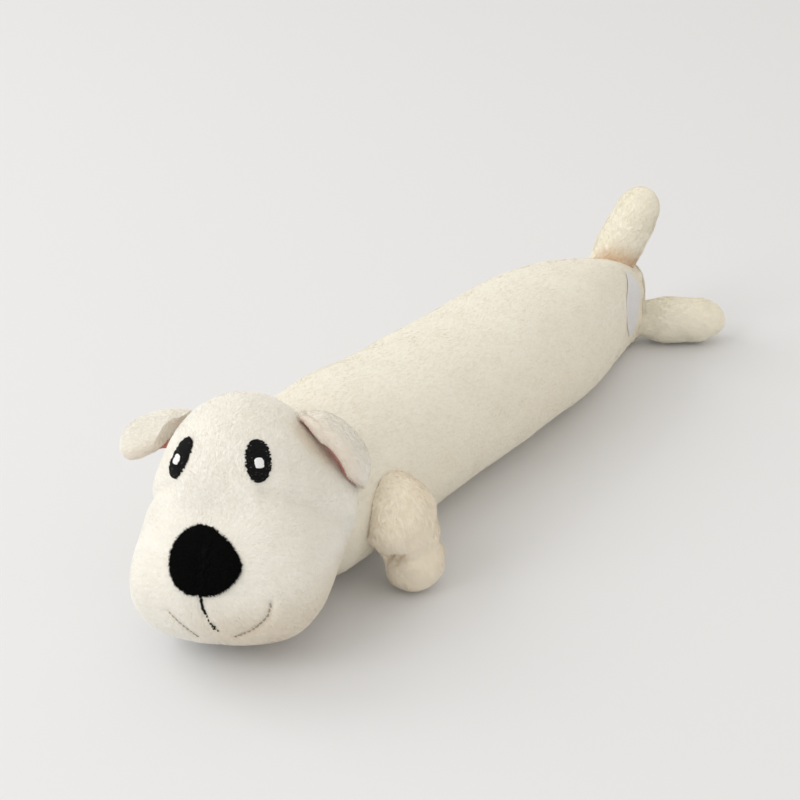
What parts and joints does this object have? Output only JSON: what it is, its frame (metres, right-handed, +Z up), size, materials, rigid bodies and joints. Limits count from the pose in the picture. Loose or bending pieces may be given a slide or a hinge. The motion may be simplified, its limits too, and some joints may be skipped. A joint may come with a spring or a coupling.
{
  "type": "squeaky dog toy",
  "caption": "Long stuffed plush dog toy lying on its belly, with a squeaker inside, floppy ears, four soft legs and a head that turns.",
  "frame": {"origin": "middle of the flat strip that the belly rests on", "axes": "+Z up; the nose points to -Y, the rear to +Y, and the dog's left is +X"},
  "size_m": [0.1294, 0.4306, 0.1019],
  "materials": {
    "body_plush": "short cream plush with a soft sheen",
    "limb_plush": "longer, warmer cream plush",
    "pink_lining": "short pink plush",
    "black_plush": "short black plush",
    "black_stitching": "black embroidery",
    "white_stitching": "white embroidery",
    "label_satin": "blank white satin ribbon",
    "stuffing_fibre": "loose white polyester fibre",
    "squeaker_plastic": "thin milky polyethylene"
  },
  "bodies": {
    "body": {"body_cover": "body_plush", "rear_panel": "body_plush", "body_stuffing_front": "stuffing_fibre", "body_stuffing_rear": "stuffing_fibre", "squeaker_bulb": "squeaker_plastic", "squeaker_plug": "squeaker_plastic", "squeaker_reed": "squeaker_plastic"},
    "head": {"head_left": "body_plush", "head_right": "body_plush", "head_stuffing": "stuffing_fibre", "nose_patch": "black_plush", "eye_left": "black_stitching", "eye_right": "black_stitching", "glint_left": "white_stitching", "glint_right": "white_stitching"},
    "ear_left": {"ear_left": "limb_plush", "ear_lining_left": "pink_lining"},
    "ear_right": {"ear_right": "limb_plush", "ear_lining_right": "pink_lining"},
    "front_leg_left": {"front_leg_left": "limb_plush", "front_leg_stuffing_left": "stuffing_fibre"},
    "front_leg_right": {"front_leg_right": "limb_plush", "front_leg_stuffing_right": "stuffing_fibre"},
    "hind_leg_left": {"hind_leg_left": "limb_plush", "hind_leg_stuffing_left": "stuffing_fibre"},
    "hind_leg_right": {"hind_leg_right": "limb_plush", "hind_leg_stuffing_right": "stuffing_fibre"},
    "label": {"blank_label": "label_satin"}
  },
  "joints": [
    {"name": "neck_turn", "type": "hinge", "parent": "body", "child": "head", "pos_m": [0, -0.148, 0.0405], "axis": [0, 0, 1], "range_deg": [-28, 5], "stiffness_Nm_per_rad": 0.05},
    {"name": "ear_left_swing", "type": "hinge", "parent": "head", "child": "ear_left", "pos_m": [0.01546, -0.16286, 0.09391], "axis": [0.3584, -0.9287, 0.0955], "range_deg": [0, 30], "stiffness_Nm_per_rad": 0.004},
    {"name": "ear_right_swing", "type": "hinge", "parent": "head", "child": "ear_right", "pos_m": [-0.03321, -0.18076, 0.08614], "axis": [-0.3584, 0.9287, -0.0955], "range_deg": [0, 30], "stiffness_Nm_per_rad": 0.004},
    {"name": "front_leg_left_swing", "type": "hinge", "parent": "body", "child": "front_leg_left", "pos_m": [0.03753, -0.128, 0.05699], "axis": [0, -1, 0], "range_deg": [0, 30], "stiffness_Nm_per_rad": 0.03},
    {"name": "front_leg_right_swing", "type": "hinge", "parent": "body", "child": "front_leg_right", "pos_m": [-0.03753, -0.128, 0.05699], "axis": [0, 1, 0], "range_deg": [0, 30], "stiffness_Nm_per_rad": 0.03},
    {"name": "hind_leg_left_swing", "type": "hinge", "parent": "body", "child": "hind_leg_left", "pos_m": [0.0028, 0.1546, 0.02], "axis": [0.5446, -0.8387, 0], "range_deg": [0, 25], "stiffness_Nm_per_rad": 0.03},
    {"name": "hind_leg_right_swing", "type": "hinge", "parent": "body", "child": "hind_leg_right", "pos_m": [-0.00825, 0.148, 0.044], "axis": [-1, 0, 0], "range_deg": [0, 35], "stiffness_Nm_per_rad": 0.06},
    {"name": "label_swing", "type": "hinge", "parent": "body", "child": "label", "pos_m": [0.01215, 0.148, 0.02371], "axis": [0, 0, 1], "range_deg": [0, 10], "stiffness_Nm_per_rad": 0.0005}
  ]
}
